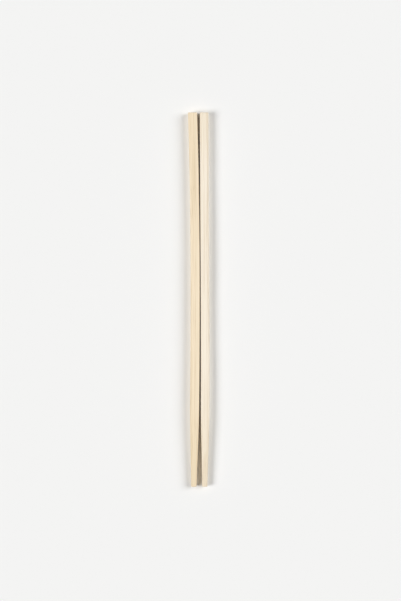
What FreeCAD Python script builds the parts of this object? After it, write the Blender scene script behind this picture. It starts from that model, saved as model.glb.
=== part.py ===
# A pair of bamboo chopsticks lying side by side, as they come to rest on a table.
#
# Each stick is one length of bamboo, planed square, with flat cut ends. The handle is
# parallel, and near the tip all four sides draw in along a straight taper, which starts
# with a soft shoulder. The long edges are lightly eased on the handle and rounder at the
# tip, and the rims of both cut ends are eased too. The left stick came out a little wider,
# and has dried with a slight bow towards the right one, which is almost straight.
#
# Millimetres. +Z is up, +Y runs to the thick ends and +X to the right stick. The origin is
# on the table, at the centre of the pair's outline. The handles lie on the table, and the
# tapered undersides rise clear of it towards the tips.

import FreeCAD, Part
import math
import os

# One stick
stick_length = 240.0
left_width = 5.85
right_width = 5.6
handle_thickness = 5.7
tip_width = 3.45
tip_thickness = 3.45
taper_length = 43.5  # from the tip to where the taper would meet the parallel handle
shoulder_length = 26.0  # the soft bend there, half of it on each side
handle_edge_radius = 0.45
tip_edge_radius = 0.95
end_ease = 0.35  # rounding of the rims of both cut ends

# How the two lie: a bow is how far the middle of a stick stands to +X of its two ends
thick_end_spacing = 7.45  # between the centre lines
tip_spacing = 7.0
left_bow = 1.25
right_bow = 0.4
left_bow_lead = 0.4  # share by which a bow is fuller towards the thick end
right_bow_lead = -0.6

# Sections along one stick
handle_spans = 10
shoulder_spans = 6
taper_spans = 3
rim_spans = 3


def tapered(from_tip, handle_size, tip_size):
    """Size across the stick: a straight taper, a parabola through the shoulder, then parallel."""
    slope = (handle_size - tip_size) / taper_length
    shoulder_end = taper_length + shoulder_length / 2
    shoulder_start = shoulder_end - shoulder_length
    if from_tip <= shoulder_start:
        return tip_size + slope * from_tip
    if from_tip >= shoulder_end:
        return handle_size
    return handle_size - slope * (shoulder_end - from_tip) ** 2 / (2 * shoulder_length)


def edge_radius(from_tip):
    """Rounding of the long edges, which grows evenly from the shoulder down to the tip."""
    share = min(from_tip / (taper_length + shoulder_length / 2), 1.0)
    return tip_edge_radius + (handle_edge_radius - tip_edge_radius) * share


def centre_line(from_tip, side, bow, lead):
    """Sideways place of a centre line: a parabola through both ends, leaning by its lead.

    The side is -1 for the left stick and 1 for the right one.
    """
    share = 1 - from_tip / stick_length
    spacing = thick_end_spacing + (tip_spacing - thick_end_spacing) * share
    return side * spacing / 2 + bow * 4 * share * (1 - share) * (1 + lead * (1 - 2 * share))


def evenly(start, end, spans):
    """Places from start towards end in equal steps, without the end itself."""
    return [start + (end - start) * i / spans for i in range(spans)]


def stations():
    """Pairs of distance from the tip and inset of the section, from the thick end to the tip."""
    angles = [math.pi / 2 * i / rim_spans for i in range(rim_spans + 1)]
    rim = [(end_ease * (1 - math.sin(a)), end_ease * (1 - math.cos(a))) for a in angles]
    thick_rim = [(stick_length - depth, inset) for depth, inset in reversed(rim)]
    shoulder_end = taper_length + shoulder_length / 2
    shoulder_start = shoulder_end - shoulder_length
    body = (
        evenly(stick_length - end_ease, shoulder_end, handle_spans)[1:]
        + evenly(shoulder_end, shoulder_start, shoulder_spans)
        + evenly(shoulder_start, end_ease, taper_spans)
    )
    return thick_rim + [(place, 0.0) for place in body] + rim


def section(from_tip, inset, width, centre_x):
    """A rounded rectangle across the stick: three points on the arc of each of its corners."""
    y = from_tip - stick_length / 2
    half_x = tapered(from_tip, width, tip_width) / 2
    half_z = tapered(from_tip, handle_thickness, tip_thickness) / 2
    radius = edge_radius(from_tip) * (1 - inset / min(half_x, half_z))
    corner_x = half_x - inset - radius
    corner_z = half_z - inset - radius

    corners = []
    for turn, (sign_x, sign_z) in enumerate([(1, 1), (-1, 1), (-1, -1), (1, -1)]):
        x = centre_x + sign_x * corner_x
        z = handle_thickness / 2 + sign_z * corner_z
        angles = [math.pi / 2 * (turn + half / 2) for half in range(3)]
        corners.append(
            [FreeCAD.Vector(x + radius * math.cos(a), y, z + radius * math.sin(a)) for a in angles]
        )
    return corners


def arc(points):
    """The rounding of one corner, through its three points."""
    return Part.Arc(*points).toShape()


def skin(near, far):
    """Faces between two sections: ruled over the rounded edges, flat from each to the next."""
    faces = []
    for corner in range(4):
        following = (corner + 1) % 4
        faces.append(Part.makeRuledSurface(arc(near[corner]), arc(far[corner])))
        rim = [near[corner][-1], near[following][0], far[following][0], far[corner][-1]]
        faces.append(Part.Face(Part.makePolygon(rim + rim[:1])))
    return faces


def cut_end(corners):
    """The flat face of a cut end, inside the section there."""
    edges = []
    for corner in range(4):
        edges.append(arc(corners[corner]))
        edges.append(Part.makeLine(corners[corner][-1], corners[(corner + 1) % 4][0]))
    return Part.Face(Part.Wire(edges))


def stick(side, width, bow, lead, shift):
    """One stick, sewn from the skin between its sections and the two cut ends."""
    sections = [
        section(place, inset, width, centre_line(place, side, bow, lead) + shift)
        for place, inset in stations()
    ]
    faces = [cut_end(sections[0]), cut_end(sections[-1])]
    for near, far in zip(sections, sections[1:]):
        faces += skin(near, far)
    shell = Part.makeShell(faces)
    shell.sewShape()
    return Part.makeSolid(shell).removeSplitter()


def outline_centre():
    """Middle of the pair's outline across X, which the origin is set to."""
    low = []
    high = []
    for place, inset in stations():
        left_half = tapered(place, left_width, tip_width) / 2 - inset
        right_half = tapered(place, right_width, tip_width) / 2 - inset
        low.append(centre_line(place, -1, left_bow, left_bow_lead) - left_half)
        high.append(centre_line(place, 1, right_bow, right_bow_lead) + right_half)
    return (min(low) + max(high)) / 2


shift = -outline_centre()
nodes = {
    "left_chopstick": stick(-1, left_width, left_bow, left_bow_lead, shift),
    "right_chopstick": stick(1, right_width, right_bow, right_bow_lead, shift),
}

os.makedirs("parts", exist_ok=True)
for name, shape in nodes.items():
    shape.exportStep("parts/" + name + ".step")
    box = shape.BoundBox
    print(
        name,
        "valid" if shape.isValid() else "NOT VALID",
        "solids", len(shape.Solids),
        "faces", len(shape.Faces),
        "volume %.1f" % shape.Volume,
        "box %.2f %.2f %.2f to %.2f %.2f %.2f"
        % (box.XMin, box.YMin, box.ZMin, box.XMax, box.YMax, box.ZMax),
    )
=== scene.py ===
"""A pair of bare bamboo chopsticks lying side by side on a pale table, seen from straight above.

Each stick is one closed surface, worked out as a rounded square section that is carried along
a slightly bowed centre line, and finished with planed bamboo: long fibres, fine pores and the
dotted grain of the cut ends.
"""

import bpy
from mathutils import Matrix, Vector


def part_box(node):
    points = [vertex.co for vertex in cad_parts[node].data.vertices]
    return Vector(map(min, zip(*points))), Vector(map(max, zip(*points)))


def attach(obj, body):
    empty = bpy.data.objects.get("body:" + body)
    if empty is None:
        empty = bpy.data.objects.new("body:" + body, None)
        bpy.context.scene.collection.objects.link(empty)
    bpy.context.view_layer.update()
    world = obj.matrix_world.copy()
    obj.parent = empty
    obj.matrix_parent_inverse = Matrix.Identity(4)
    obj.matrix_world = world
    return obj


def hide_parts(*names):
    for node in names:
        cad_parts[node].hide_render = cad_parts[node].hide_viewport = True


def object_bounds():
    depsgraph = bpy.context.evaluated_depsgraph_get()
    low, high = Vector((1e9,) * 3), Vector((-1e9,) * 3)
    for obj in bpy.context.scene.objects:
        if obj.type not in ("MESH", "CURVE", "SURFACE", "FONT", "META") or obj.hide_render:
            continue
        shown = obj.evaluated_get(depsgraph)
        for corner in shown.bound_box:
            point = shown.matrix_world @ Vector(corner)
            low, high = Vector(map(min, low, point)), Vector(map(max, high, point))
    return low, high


bl_info = {
    "name": "Bamboo chopsticks",
    "version": (1, 0, 0),
    "blender": (4, 5, 0),
    "location": "3D View > Sidebar > Chopsticks",
    "description": "Makes a pair of bamboo chopsticks and the table they are shown on",
    "category": "Object",
}

import math

import bpy
import numpy as np

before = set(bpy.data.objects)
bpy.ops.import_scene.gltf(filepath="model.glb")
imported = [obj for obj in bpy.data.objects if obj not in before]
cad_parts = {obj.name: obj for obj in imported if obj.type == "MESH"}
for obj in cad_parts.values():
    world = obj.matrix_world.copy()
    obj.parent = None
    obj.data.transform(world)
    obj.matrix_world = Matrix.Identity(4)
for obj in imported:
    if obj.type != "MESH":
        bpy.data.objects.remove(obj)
cad_low, cad_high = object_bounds()

MM = 0.001

# Where in the endless grain each stick is cut from, in millimetres
CREAM_PLACE = (11.1, 183.2, 6.5)
IVORY_PLACE = (132.3, 177.1, 80.8)

# Seeds of the small unevenness of each stick
LEFT_SEED = 11
RIGHT_SEED = 23

# How finely a stick is divided: round an edge, across a side, along it, over a rim and an end
ARC_STEPS = 10
SIDE_STEPS = 26
BODY_RINGS = 460
RIM_RINGS = 7
CAP_RINGS = 12

# Size of one bump of each kind of unevenness, across, upward and along the stick
PLANE_WAVE = np.array([3.5, 3.5, 30]) * MM
FIBRE_GROOVE = np.array([0.32, 0.32, 16]) * MM
SAW_MARK = np.array([0.22, 0.22, 0.22]) * MM
RIM_CHIP = np.array([0.5, 0.5, 0.5]) * MM

# Length of one slow wave in the rounding of a long edge
EDGE_WAVE = 24 * MM

# How far a finished stick may miss its solid's box
LARGEST_MISS = 0.1 * MM

# How many times a millimetre each pattern of the grain changes, across, upward and along
BUNDLE_DRIFT = (0.1, 0.1, 0.014)
RAGGED_OUTLINE = (4.0, 4.0, 0.05)
PORE_BREAKS = (2.0, 2.0, 0.12)
FINE_FIBRES = (5.0, 5.0, 0.08)
HAIRLINES = (7.0, 7.0, 0.06)
BROAD_STREAKS = (0.6, 0.6, 0.013)
SLOW_TONE = (0.05, 0.05, 0.02)
SPECKLES = (9.0, 9.0, 3.0)
SAW_LINES = (0.4, 6.0, 1.0)

# How far the bundles of fibres wander as they run along the stick, in millimetres
BUNDLE_WANDER = 2.4

# Width of a bundle over its length towards the skin side
SQUEEZE = 0.85

# Where the yellowing of each end begins and is full, in millimetres from the tip
TIP_YELLOWING = (75.0, 5.0)
TOP_YELLOWING = (190.0, 240.0)

# Half the side of the square table, in metres
TABLE_HALF = 6.0


def length(name, description, millimetres):
    """A property that holds a length, with its default given in millimetres."""
    return bpy.props.FloatProperty(
        name=name,
        description=description,
        default=millimetres * MM,
        precision=5,
        subtype="DISTANCE",
        unit="LENGTH",
    )


def colour(name, description, red, green, blue):
    """A property that holds a colour, with its default given in display values from 0 to 255."""
    return bpy.props.FloatVectorProperty(
        name=name,
        description=description,
        default=[linear(value) for value in (red, green, blue)],
        min=0,
        max=1,
        size=3,
        subtype="COLOR",
    )


def factor(name, description, default, highest=1.0):
    """A property that holds a plain number from 0 up to its highest value."""
    return bpy.props.FloatProperty(
        name=name, description=description, default=default, min=0, max=highest, precision=3
    )


def signed(name, description, default):
    """A property that holds a plain number from -1 to 1."""
    return bpy.props.FloatProperty(
        name=name, description=description, default=default, min=-1, max=1, precision=3
    )


def angle(name, description, degrees):
    """A property that holds an angle, with its default given in degrees."""
    return bpy.props.FloatProperty(
        name=name,
        description=description,
        default=math.radians(degrees),
        precision=4,
        subtype="ANGLE",
        unit="ROTATION",
    )


def linear(display_value):
    """Scene-linear light of a display value from 0 to 255, by the usual display curve."""
    share = display_value / 255
    return share / 12.92 if share <= 0.04045 else ((share + 0.055) / 1.055) ** 2.4


class ChopstickSizes(bpy.types.PropertyGroup):
    """Sizes of one stick, and how the two lie beside each other."""

    left_width: length("Left width", "Across the left handle, seen from above", 5.85)
    right_width: length("Right width", "Across the right handle, seen from above", 5.6)
    tip_width: length("Tip width", "Across the cut tip, seen from above", 3.45)
    tip_thickness: length("Tip thickness", "Height of the cut tip", 3.45)
    taper_length: length("Taper length", "From the tip to where the taper meets the handle", 43.5)
    shoulder_length: length("Shoulder length", "Length of the soft bend into the taper", 26)
    handle_edge: length("Handle edge", "Rounding of the long edges on the handle", 0.45)
    outer_edge: length("Outer edge", "Softer rounding of the right handle's outer top edge", 1.4)
    tip_edge: length("Tip edge", "Rounding of the long edges at the tip", 0.95)
    end_ease: length("End easing", "Rounding of the rims of both cut ends", 0.35)
    thick_end_spacing: length("Thick end spacing", "Between the centre lines at the top", 7.45)
    tip_spacing: length("Tip spacing", "Between the centre lines at the tips", 7)
    left_bow: length("Left bow", "How far the left stick bends towards the right one", 1.25)
    right_bow: length("Right bow", "How far the right stick bends the same way", 0.4)
    left_bow_lead: signed("Left bow lead", "How much fuller its bow is towards the thick end", 0.4)
    right_bow_lead: signed("Right bow lead", "The same, where minus is towards the tip", -0.6)
    fibre_relief: length("Fibre relief", "Depth of the fine grooves between fibres", 0.006)
    plane_relief: length("Planing relief", "Depth of the slow waves that planing leaves", 0.03)
    cut_relief: length("Cut relief", "Depth of the roughness of the cut ends", 0.03)
    rim_chips: length("Rim chips", "Depth of the small chips along the rims of the cut ends", 0.12)
    edge_variation: factor("Edge variation", "Share by which the eased edges vary", 0.3)


class BambooFinish(bpy.types.PropertyGroup):
    """Colours and grain of the two sticks."""

    cream_ground: colour("Cream ground", "Pale wood of the left stick", 248, 231, 203)
    cream_fibre: colour("Cream fibre", "Fibres of the left stick", 212, 188, 150)
    cream_streaks: factor("Cream streaks", "How strongly the left stick's fibres show", 0.34)
    cream_tip_age: factor("Cream tip age", "How much the left stick's tip has yellowed", 0.3)
    cream_top_age: factor("Cream top age", "How much its thick end has yellowed", 0.06)
    cream_skin: angle("Cream skin", "Turn of the culm's skin side round the left stick", 25)
    ivory_ground: colour("Ivory ground", "Pale wood of the right stick", 250, 239, 221)
    ivory_fibre: colour("Ivory fibre", "Fibres of the right stick", 217, 196, 164)
    ivory_streaks: factor("Ivory streaks", "How strongly the right stick's fibres show", 0.39)
    ivory_tip_age: factor("Ivory tip age", "How much the right stick's tip has yellowed", 0.27)
    ivory_top_age: factor("Ivory top age", "How much its thick end has yellowed", 0.13)
    ivory_skin: angle("Ivory skin", "Turn of the culm's skin side round the right stick", 169)
    yellowed: colour("Yellowed", "Tone that the ends turn towards", 222, 200, 157)
    cut_fibre: colour("Cut fibre", "Bundles of fibres seen on the cut ends", 190, 138, 80)
    pore: colour("Pores", "Open pores along the fibres", 142, 102, 58)
    bundle_spacing: length("Fibre spacing", "Between neighbouring bundles of fibres", 0.54)
    crowding: factor("Crowding", "How much closer bundles stand, per mm towards the skin", 0.07)
    roughness: factor("Roughness", "How matt the planed surface is", 0.66)
    gloss: factor("Gloss", "How strongly the planed surface mirrors light", 0.12)
    groove_depth: length("Groove depth", "Of the finest grooves, which only the light shows", 0.02)


class StudioSettings(bpy.types.PropertyGroup):
    """Table, light and camera."""

    table: colour("Table", "Colour of the table", 245, 245, 244)
    ambient: factor("Ambient light", "Even light from all around", 0.1, 2.0)
    left_light: factor("Left light", "Light that the table gets from the left lamp", 0.48, 2.0)
    left_azimuth: angle("Left azimuth", "From the thick ends' side, clockwise from above", -102)
    left_elevation: angle("Left elevation", "Height of the left lamp above the table", 42)
    left_softness: angle("Left softness", "How wide the left lamp looks", 30)
    right_light: factor("Right light", "Light that the table gets from the right lamp", 0.41, 2.0)
    right_azimuth: angle("Right azimuth", "From the thick ends' side, clockwise from above", 76)
    right_elevation: angle("Right elevation", "Height of the right lamp above the table", 40)
    right_softness: angle("Right softness", "How wide the right lamp looks", 40)
    lens: bpy.props.FloatProperty(
        name="Lens", description="Focal length of the camera", default=100, unit="CAMERA"
    )
    picture_height: length("Picture height", "What the picture's long side covers", 384.9)
    aim_x: length("Aim X", "Where the middle of the picture is, across the sticks", 0.96)
    aim_y: length("Aim Y", "Where the middle of the picture is, along the sticks", -0.51)
    roll: angle("Roll", "Turn of the camera about its line of sight", -0.156)


def tapered(from_tip, sizes, handle_size, tip_size):
    """Size across the stick at distances from its tip.

    It grows from the tip's size in a straight line, follows a parabola over the shoulder and
    stays at the handle's size beyond: handle - slope * (shoulder end - distance)^2 / (2 * shoulder
    length) inside the shoulder, which meets both lines at their own slopes.
    """
    slope = (handle_size - tip_size) / sizes.taper_length
    shoulder_end = sizes.taper_length + sizes.shoulder_length / 2
    short_of = np.clip(shoulder_end - from_tip, 0, sizes.shoulder_length)
    bend = handle_size - slope * short_of**2 / (2 * sizes.shoulder_length)
    straight = np.clip(shoulder_end - sizes.shoulder_length - from_tip, 0, None)
    return bend - slope * straight


def edge_radii(from_tip, sizes, handle_edges):
    """Rounding of the four long edges, a column each: even on the handle, and from the shoulder
    on changing in a straight line to the tip's."""
    share = np.clip(from_tip / (sizes.taper_length + sizes.shoulder_length / 2), 0, 1)
    return np.outer(1 - share, np.full(4, sizes.tip_edge)) + np.outer(share, handle_edges)


def centre_line(from_tip, stick_length, sizes, side):
    """Sideways place of a centre line, measured from the line midway between the two.

    With s from 0 at the thick end to 1 at the tip, half the spacing there goes to the stick's
    side, and the bow adds a parabola, bow * 4 * s * (1 - s), weighted by 1 + lead * (1 - 2 * s).
    """
    share = 1 - from_tip / stick_length
    spacing = sizes.thick_end_spacing * (1 - share) + sizes.tip_spacing * share
    bow = getattr(sizes, side + "_bow")
    lead = getattr(sizes, side + "_bow_lead")
    bend = bow * 4 * share * (1 - share) * (1 + lead * (1 - 2 * share))
    return (spacing if side == "right" else -spacing) / 2 + bend


def smooth_noise(points, cell, seed):
    """Smooth random values from -1 to 1: random numbers on a lattice of the given cell size,
    blended between its points by 3 * t^2 - 2 * t^3 along each axis."""
    place = (points - points.reshape(-1, 3).min(axis=0)) / cell
    low = np.floor(place).astype(int)
    lattice = np.random.default_rng(seed).uniform(-1, 1, low.reshape(-1, 3).max(axis=0) + 2)
    blend = (place - low) ** 2 * (3 - 2 * (place - low))
    total = np.zeros(points.shape[:-1])
    for corner in np.ndindex(2, 2, 2):
        weight = np.where(corner, blend, 1 - blend).prod(axis=-1)
        total += weight * lattice[tuple(np.moveaxis(low + corner, -1, 0))]
    return total


def around_section(arc_steps, side_steps):
    """One trip round a rounded rectangle, as the four corners' weights and the outward direction.

    A point of the section is core * (weights @ corner signs) + radius * outward. On a corner's
    arc the weight stays with that corner and the direction turns by a quarter. On a side the
    direction stays and the weight passes evenly to the next corner.
    """
    turn_on_arc = np.linspace(0, 1, arc_steps + 1)
    pass_on_side = np.arange(1, side_steps) / side_steps
    turn = np.concatenate([turn_on_arc, np.ones(side_steps - 1)])
    passed = np.concatenate([np.zeros(arc_steps + 1), pass_on_side])
    weights = []
    angles = []
    for corner in range(4):
        own = np.eye(4)[corner]
        following = np.eye(4)[(corner + 1) % 4]
        weights.append(np.outer(1 - passed, own) + np.outer(passed, following))
        angles.append((corner + turn) * math.pi / 2)
    angles = np.concatenate(angles)
    return np.concatenate(weights), np.stack([np.cos(angles), np.sin(angles)], axis=-1)


def rings_along(stick_length, ease, body_rings, rim_rings, cap_rings):
    """Rings from the middle of the cut tip to the middle of the cut thick end.

    Each ring has a distance from the tip, an inset, a scale and a lean. Over a cut end the scale
    grows evenly from the middle, over its rim the ring follows a quarter circle, with depth
    ease * (1 - cos t) and inset ease * (1 - sin t) at a turn t, and along the stick it stays
    whole. The lean is the sine of the surface's slant: -1 on the tip's cut end, 0 along the
    sides and 1 on the thick end's.
    """
    scale = np.linspace(0, 1, cap_rings + 1)[1:-1]
    turn = np.linspace(0, math.pi / 2, rim_rings + 1)
    depth = ease * (1 - np.cos(turn))
    inset = ease * (1 - np.sin(turn))
    body = np.linspace(ease, stick_length - ease, body_rings)[1:-1]

    tip_places = np.concatenate([np.zeros_like(scale), depth])
    tip_insets = np.concatenate([np.full_like(scale, ease), inset])
    tip_scales = np.concatenate([scale, np.ones_like(turn)])
    tip_leans = -np.concatenate([np.ones_like(scale), np.cos(turn)])

    places = np.concatenate([tip_places, body, stick_length - tip_places[::-1]])
    insets = np.concatenate([tip_insets, np.zeros_like(body), tip_insets[::-1]])
    scales = np.concatenate([tip_scales, np.ones_like(body), tip_scales[::-1]])
    leans = np.concatenate([tip_leans, np.zeros_like(body), -tip_leans[::-1]])
    return places, insets, scales, leans


def varied_edges(from_tip, sizes, handle_edges, seed):
    """The four long edges' rounding, with a slow variation of its own along each of them."""
    corner_places = np.zeros((len(from_tip), 4, 3))
    corner_places[..., 1] = np.arange(4)
    corner_places[..., 2] = from_tip[:, None]
    variation = smooth_noise(corner_places, np.array([1, 1, EDGE_WAVE]), seed)
    return edge_radii(from_tip, sizes, handle_edges) * (1 + sizes.edge_variation * variation)


def relief(sizes, grain, on_side, on_cut, seed):
    """How far each point sinks from the true size.

    Slow waves of the plane and fine grooves along the fibres go with the sides, the roughness of
    the saw with the cut ends, and small chips with the rims, where a point is on both. Waves,
    grooves and roughness are depth * (1 - noise) / 2, and chips are the noise's high spots alone.
    """
    chip_threshold = 0.1
    waves = sizes.plane_relief * (1 - smooth_noise(grain, PLANE_WAVE, seed + 1)) / 2
    grooves = sizes.fibre_relief * (1 - smooth_noise(grain, FIBRE_GROOVE, seed + 2)) / 2
    saw = sizes.cut_relief * (1 - smooth_noise(grain, SAW_MARK, seed + 3)) / 2
    high_spots = np.clip(smooth_noise(grain, RIM_CHIP, seed + 4) - chip_threshold, 0, None)
    chips = sizes.rim_chips * high_spots
    return on_side * (waves + grooves) + on_cut * saw + 2 * on_side * on_cut * chips


def stick_surface(sizes, side, stick_length, thickness, handle_edges, centre_of, seed):
    """The points of one stick, as rings of points, their places in its straight grain, and how
    far each faces out of a cut end, from 0 to 1.

    A ring is a rounded rectangle: its core corners stand at half the size less the edge radius,
    and the edge radius goes out from there. The relief then sinks each point along its outward
    direction, so that no point stands proud of the true size.
    """
    weights, outward = around_section(ARC_STEPS, SIDE_STEPS)
    signs = weights @ np.array([(1, 1), (-1, 1), (-1, -1), (1, -1)])
    places, insets, scales, leans = rings_along(
        stick_length, sizes.end_ease, BODY_RINGS, RIM_RINGS, CAP_RINGS
    )

    half_x = tapered(places, sizes, getattr(sizes, side + "_width"), sizes.tip_width) / 2
    half_z = tapered(places, sizes, thickness, sizes.tip_thickness) / 2
    radii = varied_edges(places, sizes, handle_edges, seed)
    radius = (radii @ weights.T) * (1 - insets / np.minimum(half_x, half_z))[:, None]
    core_x = (half_x - insets)[:, None] - radius
    core_z = (half_z - insets)[:, None] - radius
    across = scales[:, None] * (core_x * signs[:, 0] + radius * outward[:, 0])
    upward = scales[:, None] * (core_z * signs[:, 1] + radius * outward[:, 1])
    along = np.broadcast_to(places[:, None], across.shape)
    grain = np.stack([across, upward, along], axis=-1)

    on_side = np.sqrt(1 - leans**2)[:, None]
    on_cut = np.abs(leans)[:, None]
    sink = relief(sizes, grain, on_side, on_cut, seed)
    x = centre_of(places)[:, None] + across - sink * on_side * outward[:, 0]
    y = along - stick_length / 2 - sink * leans[:, None]
    z = thickness / 2 + upward - sink * on_side * outward[:, 1]
    return np.stack([x, y, z], axis=-1), grain, np.broadcast_to(on_cut, across.shape)


def with_poles(values):
    """The rings' values in one list, with the means of the first and of the last ring added."""
    flat = values.reshape(-1, *values.shape[2:])
    return np.concatenate([flat, values[:1].mean(axis=1), values[-1:].mean(axis=1)])


def closed_mesh(name, rings, grain, cut):
    """A closed mesh of the rings, with one point in the middle of each cut end.

    Quads join each ring to the next, and a fan of triangles closes each end on the mean of its
    last ring. The attribute "grain" holds the places in the grain, in millimetres, and "cut" how
    far the surface faces out of a cut end.
    """
    ring_count, around = rings.shape[:2]
    points = with_poles(rings)
    index = np.arange(ring_count * around).reshape(ring_count, around)
    following = np.roll(index, -1, axis=1)
    quads = np.stack([index[:-1], index[1:], following[1:], following[:-1]], axis=-1)
    tip_fan = np.stack([following[0], np.full(around, len(points) - 2), index[0]], axis=-1)
    top_fan = np.stack([index[-1], np.full(around, len(points) - 1), following[-1]], axis=-1)
    faces = quads.reshape(-1, 4).tolist() + tip_fan.tolist() + top_fan.tolist()

    mesh = bpy.data.meshes.new(name)
    mesh.from_pydata(points, [], faces)
    mesh.polygons.foreach_set("use_smooth", np.ones(len(faces), dtype=bool))
    place = mesh.attributes.new("grain", "FLOAT_VECTOR", "POINT")
    place.data.foreach_set("vector", with_poles(grain / MM).ravel())
    facing = mesh.attributes.new("cut", "FLOAT", "POINT")
    facing.data.foreach_set("value", with_poles(cut))
    mesh.update()
    return mesh


class Wire:
    """A node's output that takes part in Python expressions.

    Each operator adds one Math node, or one Vector Math node where a side is a vector or colour.
    """

    def __init__(self, tree, socket):
        self.tree = tree
        self.socket = socket

    def joined(self, operation, left, right):
        """The output of a Math or Vector Math node with these two sides."""
        kinds = [side.socket.type for side in (left, right) if isinstance(side, Wire)]
        if "VECTOR" not in kinds and "RGBA" not in kinds:
            return self.tree.add("ShaderNodeMath", {"operation": operation}, {0: left, 1: right})
        sides = [(side,) * 3 if isinstance(side, (int, float)) else side for side in (left, right)]
        settings = {"operation": operation}
        return self.tree.add("ShaderNodeVectorMath", settings, dict(enumerate(sides)))

    def __add__(self, other):
        return self.joined("ADD", self, other)

    def __radd__(self, other):
        return self.joined("ADD", other, self)

    def __sub__(self, other):
        return self.joined("SUBTRACT", self, other)

    def __rsub__(self, other):
        return self.joined("SUBTRACT", other, self)

    def __mul__(self, other):
        return self.joined("MULTIPLY", self, other)

    def __rmul__(self, other):
        return self.joined("MULTIPLY", other, self)

    def __or__(self, other):
        return self.joined("MAXIMUM", self, other)


class Tree:
    """The node tree of a material or world, with one method that adds any node."""

    def __init__(self, owner):
        owner.use_nodes = True
        self.nodes = owner.node_tree.nodes
        self.links = owner.node_tree.links
        self.nodes.clear()

    def add(self, kind, settings=None, inputs=None, outputs=None):
        """Adds a node of a kind, with its settings first and then its inputs' values or links.

        Returns its first enabled output as a wire, or a list of the outputs that are named.
        """
        node = self.nodes.new(kind)
        for key, value in (settings or {}).items():
            setattr(node, key, value)
        for key, value in (inputs or {}).items():
            if isinstance(value, Wire):
                self.links.new(value.socket, node.inputs[key])
            else:
                node.inputs[key].default_value = value
        if outputs:
            return [Wire(self, node.outputs[name]) for name in outputs]
        return next((Wire(self, socket) for socket in node.outputs if socket.enabled), None)

    def noise(self, vector, detail=0.0):
        """Soft noise about 0, from about -0.5 to 0.5, at a place in space."""
        settings = {"noise_dimensions": "3D"}
        inputs = {"Vector": vector, "Scale": 1.0, "Detail": detail}
        return self.add("ShaderNodeTexNoise", settings, inputs) - 0.5

    def step(self, value, low, high):
        """A soft step from 0 at the low value to 1 at the high one, either way round."""
        settings = {"interpolation_type": "SMOOTHSTEP"}
        inputs = {"Value": value, "From Min": low, "From Max": high}
        return self.add("ShaderNodeMapRange", settings, inputs)

    def mix(self, share, first, second):
        """A colour between two colours."""
        inputs = {"Factor": share, "A": first, "B": second}
        return self.add("ShaderNodeMix", {"data_type": "RGBA"}, inputs)

    def parts(self, vector):
        """The three numbers of a vector."""
        return self.add("ShaderNodeSeparateXYZ", None, {0: vector}, ("X", "Y", "Z"))


def opaque(rgb):
    """A colour with full alpha, as a colour socket takes it."""
    return (*rgb, 1.0)


def fibre_bundles(tree, finish, place, grain, skin):
    """How strongly the sheaths and the pores of the bundles of fibres show, from 0 to about 1.

    The bundles are the cells of a flat cell pattern across the stick, a little longer towards
    the culm's skin side than across. They wander slowly along the stick, and crowd towards the
    skin side: a place d from the middle towards it becomes d + crowding * d^2. Each bundle has a
    sheath of darker fibres, with an uneven outline and a size and tone of its own, round a thin
    pore that breaks off here and there.
    """
    settings = {"noise_dimensions": "3D"}
    inputs = {"Vector": grain * BUNDLE_DRIFT, "Scale": 1.0, "Detail": 1.0}
    drift = tree.add("ShaderNodeTexNoise", settings, inputs, ("Color",))[0]
    across, upward, _ = tree.parts(place + (drift - 0.5) * BUNDLE_WANDER)
    to_skin = across * math.sin(skin) + upward * math.cos(skin)
    beside = across * math.cos(skin) - upward * math.sin(skin)
    crowded = to_skin + to_skin * to_skin * finish.crowding
    cell_place = tree.add("ShaderNodeCombineXYZ", None, {"X": beside, "Y": crowded * SQUEEZE})

    settings = {"voronoi_dimensions": "2D"}
    inputs = {"Vector": cell_place, "Scale": MM / finish.bundle_spacing, "Randomness": 0.85}
    outputs = ("Distance", "Color")
    distance, cell_colour = tree.add("ShaderNodeTexVoronoi", settings, inputs, outputs)
    cell_size, cell_tone, _ = tree.parts(cell_colour)
    distance = distance + tree.noise(grain * RAGGED_OUTLINE, 1.0) * 0.35
    sheath = tree.step(distance - cell_size * 0.22, 0.27, 0.05) * (0.55 + cell_tone * 0.6)
    unbroken = tree.step(tree.noise(grain * PORE_BREAKS), -0.02, 0.12)
    return sheath, tree.step(distance, 0.11, 0.03) * unbroken


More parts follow.
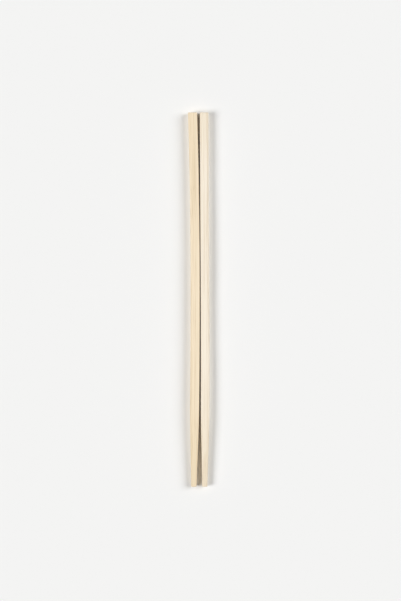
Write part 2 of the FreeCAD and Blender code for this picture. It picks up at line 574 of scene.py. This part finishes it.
def planed_bamboo(finish, tone, offset):
    """Planed bamboo that is the same all through the stick, so that its sides show long fibres
    and its cut ends show their dots.

    Hairlines and finer fibres lie between the bundles. The tone changes slowly along the stick,
    and has yellowed towards both ends, most at the tip. On the cut ends the bundles are darker,
    and the saw has left lines. The finish holds the values of both tones, cream and ivory, under
    names that start with them, and the offset is where the stick lies in the endless grain.
    """
    ground = opaque(getattr(finish, tone + "_ground"))
    fibre = opaque(getattr(finish, tone + "_fibre"))
    streaks = getattr(finish, tone + "_streaks")
    tip_age = getattr(finish, tone + "_tip_age")
    top_age = getattr(finish, tone + "_top_age")
    skin = getattr(finish, tone + "_skin")
    material = bpy.data.materials.new("planed_" + tone + "_bamboo")
    tree = Tree(material)
    place = tree.add("ShaderNodeAttribute", {"attribute_name": "grain"}, None, ("Vector",))[0]
    along = tree.parts(place)[2]
    grain = place + offset
    sheath, pore = fibre_bundles(tree, finish, place, grain, skin)

    fine = tree.noise(grain * FINE_FIBRES, 2.0)
    hairs = tree.step(tree.noise(grain * HAIRLINES, 1.0), 0.06, 0.3)
    broad = tree.noise(grain * BROAD_STREAKS, 1.0)
    slow = tree.noise(grain * SLOW_TONE, 1.0)
    speckle = tree.noise(grain * SPECKLES, 1.0)
    saw = tree.noise(grain * SAW_LINES, 1.0)

    cut = tree.add("ShaderNodeAttribute", {"attribute_name": "cut"}, None, ("Fac",))[0]
    on_cut = tree.step(cut, 0.6, 0.95)
    near_tip = tree.step(along, *TIP_YELLOWING)
    near_top = tree.step(along, *TOP_YELLOWING)

    # Colour: the pale ground turns to the fibres' tone, then come age, dots and pores
    streaked = (sheath + broad * 2.6 + fine * 1.6 + hairs * 0.5) * streaks
    depth = 0.02 + slow * 0.35 + streaked + speckle * 0.08 + (saw + speckle) * on_cut * 0.5
    fresh = tree.mix(depth, ground, fibre)
    age = near_tip * tip_age + near_top * top_age + on_cut * 0.15
    wood = tree.mix(age, fresh, opaque(finish.yellowed))
    dotted = tree.mix(sheath * on_cut * 0.45, wood, opaque(finish.cut_fibre))
    open_pore = pore * (0.35 + on_cut * 0.3)
    tinted = tree.mix(open_pore, dotted, opaque(finish.pore))

    # Relief, in shares of the groove depth
    raised = sheath * 0.4 + fine * 1.4 + speckle * 0.3 + saw * on_cut
    height = raised - hairs * 0.5 - open_pore * 1.2
    inputs = {"Strength": 0.7, "Distance": finish.groove_depth, "Height": height}
    bump = tree.add("ShaderNodeBump", None, inputs)
    roughness = finish.roughness + fine * 0.2 + on_cut * 0.25 + speckle * 0.1 - sheath * 0.05
    inputs = {
        "Base Color": tinted,
        "Roughness": roughness,
        "Normal": bump,
        "Specular IOR Level": finish.gloss,
    }
    surface = tree.add("ShaderNodeBsdfPrincipled", None, inputs)
    tree.add("ShaderNodeOutputMaterial", None, {"Surface": surface})
    return material


class CHOPSTICKS_OT_make_pair(bpy.types.Operator):
    """Makes the two bamboo sticks where the frame has them"""

    bl_idname = "chopsticks.make_pair"
    bl_label = "Make the pair"
    bl_options = {"REGISTER", "UNDO"}

    def execute(self, context):
        sizes = context.scene.chopstick_sizes
        finish = context.scene.bamboo_finish
        cream = planed_bamboo(finish, "cream", CREAM_PLACE)
        ivory = planed_bamboo(finish, "ivory", IVORY_PLACE)
        left_edges = [sizes.handle_edge] * 4
        right_edges = [sizes.outer_edge] + [sizes.handle_edge] * 3
        self.make_stick(sizes, "left", left_edges, cream, LEFT_SEED)
        self.make_stick(sizes, "right", right_edges, ivory, RIGHT_SEED)
        return {"FINISHED"}

    def make_stick(self, sizes, side, handle_edges, material, seed):
        """Makes one stick in place of its solid, and tests that it fills the solid's box."""
        node = side + "_chopstick"
        low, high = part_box(node)
        stick_length = high[1] - low[1]
        thickness = high[2] - low[2]
        shift = (low[0] + high[0]) / 2 - self.outline_centre(sizes, side, stick_length)

        def centre_of(from_tip):
            return shift + centre_line(from_tip, stick_length, sizes, side)

        rings, grain, cut = stick_surface(
            sizes, side, stick_length, thickness, handle_edges, centre_of, seed
        )
        mesh = closed_mesh(side + "_stick", rings, grain, cut)
        piece = bpy.data.objects.new(side + "_stick", mesh)
        piece.data.materials.append(material)
        bpy.context.scene.collection.objects.link(piece)
        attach(piece, "root")
        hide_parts(node)

        flat = rings.reshape(-1, 3)
        miss = max(abs(flat.min(axis=0) - low).max(), abs(flat.max(axis=0) - high).max())
        if miss > LARGEST_MISS:
            raise RuntimeError(f"{piece.name} misses the box of {node} by {miss / MM:.2f} mm")

    def outline_centre(self, sizes, side, stick_length):
        """Middle of one stick's outline across X, measured as its centre line is."""
        samples = 400
        places = np.linspace(sizes.end_ease, stick_length - sizes.end_ease, samples)
        centre = centre_line(places, stick_length, sizes, side)
        half = tapered(places, sizes, getattr(sizes, side + "_width"), sizes.tip_width) / 2
        return ((centre - half).min() + (centre + half).max()) / 2


class CHOPSTICKS_OT_make_stage(bpy.types.Operator):
    """Makes the pale table, the soft light and the camera that looks straight down"""

    bl_idname = "chopsticks.make_stage"
    bl_label = "Make the stage"
    bl_options = {"REGISTER", "UNDO"}

    def execute(self, context):
        studio = context.scene.studio_settings
        self.make_table(studio)
        self.make_world(studio)
        self.make_lamp(studio, "left")
        self.make_lamp(studio, "right")
        self.make_camera(studio)
        context.scene.view_settings.view_transform = "Standard"
        return {"FINISHED"}

    def make_table(self, studio):
        """A flat square under the sticks, far larger than any view of them."""
        corners = np.array([(-1, -1, 0), (1, -1, 0), (1, 1, 0), (-1, 1, 0)]) * TABLE_HALF
        mesh = bpy.data.meshes.new("table")
        mesh.from_pydata(corners, [], [(0, 1, 2, 3)])
        material = bpy.data.materials.new("pale_table")
        tree = Tree(material)
        inputs = {"Base Color": opaque(studio.table), "Roughness": 0.9, "Specular IOR Level": 0.0}
        surface = tree.add("ShaderNodeBsdfPrincipled", None, inputs)
        tree.add("ShaderNodeOutputMaterial", None, {"Surface": surface})
        mesh.materials.append(material)
        table = bpy.data.objects.new("table", mesh)
        bpy.context.scene.collection.objects.link(table)

    def make_world(self, studio):
        """Even light from all around, seen by camera, mirror and glass rays in the table's tone."""
        world = bpy.data.worlds.new("studio")
        tree = Tree(world)
        rays = ("Is Camera Ray", "Is Glossy Ray", "Is Transmission Ray")
        camera, glossy, glass = tree.add("ShaderNodeLightPath", None, None, rays)
        inputs = {"Color": (1, 1, 1, 1), "Strength": studio.ambient}
        given = tree.add("ShaderNodeBackground", None, inputs)
        seen = tree.add("ShaderNodeBackground", None, {"Color": opaque(studio.table)})
        inputs = {0: camera | glossy | glass, 1: given, 2: seen}
        choice = tree.add("ShaderNodeMixShader", None, inputs)
        tree.add("ShaderNodeOutputWorld", None, {"Surface": choice})
        bpy.context.scene.world = world

    def make_lamp(self, studio, side):
        """A distant soft lamp on one side, which gives the table its share of light.

        The lamp's strength is pi * share / sin(elevation). Azimuth 0 is beyond the thick ends,
        and grows towards +X.
        """
        azimuth = getattr(studio, side + "_azimuth")
        elevation = getattr(studio, side + "_elevation")
        lamp = bpy.data.lights.new(side + "_lamp", "SUN")
        lamp.energy = math.pi * getattr(studio, side + "_light") / math.sin(elevation)
        lamp.angle = getattr(studio, side + "_softness")
        holder = bpy.data.objects.new(side + "_lamp", lamp)
        holder.rotation_euler = (math.pi / 2 - elevation, 0, math.pi - azimuth)
        bpy.context.scene.collection.objects.link(holder)

    def make_camera(self, studio):
        """The camera, straight above, where the picture covers its height at the sticks' tops."""
        data = bpy.data.cameras.new("camera")
        data.lens = studio.lens
        camera = bpy.data.objects.new("camera", data)
        distance = studio.picture_height * studio.lens / data.sensor_width
        camera.location = (studio.aim_x, studio.aim_y, distance + cad_high[2])
        camera.rotation_euler = (0, 0, studio.roll)
        bpy.context.scene.collection.objects.link(camera)
        bpy.context.scene.camera = camera


class CHOPSTICKS_PT_sidebar(bpy.types.Panel):
    """Lists the sizes, the finish, the studio and the operators"""

    bl_idname = "CHOPSTICKS_PT_sidebar"
    bl_label = "Bamboo chopsticks"
    bl_space_type = "VIEW_3D"
    bl_region_type = "UI"
    bl_category = "Chopsticks"

    def draw(self, context):
        layout = self.layout
        scene = context.scene
        for settings in (scene.chopstick_sizes, scene.bamboo_finish, scene.studio_settings):
            box = layout.box()
            for name in type(settings).__annotations__:
                box.prop(settings, name)
        layout.operator(CHOPSTICKS_OT_make_pair.bl_idname)
        layout.operator(CHOPSTICKS_OT_make_stage.bl_idname)


CLASSES = (
    ChopstickSizes,
    BambooFinish,
    StudioSettings,
    CHOPSTICKS_OT_make_pair,
    CHOPSTICKS_OT_make_stage,
    CHOPSTICKS_PT_sidebar,
)


def register():
    """Registers the classes and hangs the settings on the scene."""
    for cls in CLASSES:
        bpy.utils.register_class(cls)
    bpy.types.Scene.chopstick_sizes = bpy.props.PointerProperty(type=ChopstickSizes)
    bpy.types.Scene.bamboo_finish = bpy.props.PointerProperty(type=BambooFinish)
    bpy.types.Scene.studio_settings = bpy.props.PointerProperty(type=StudioSettings)


def unregister():
    """Takes the settings and the classes away again."""
    del bpy.types.Scene.chopstick_sizes
    del bpy.types.Scene.bamboo_finish
    del bpy.types.Scene.studio_settings
    for cls in reversed(CLASSES):
        bpy.utils.unregister_class(cls)


def main():
    """Makes everything in order."""
    register()
    bpy.ops.chopsticks.make_pair()
    bpy.ops.chopsticks.make_stage()


if __name__ == "__main__":
    main()
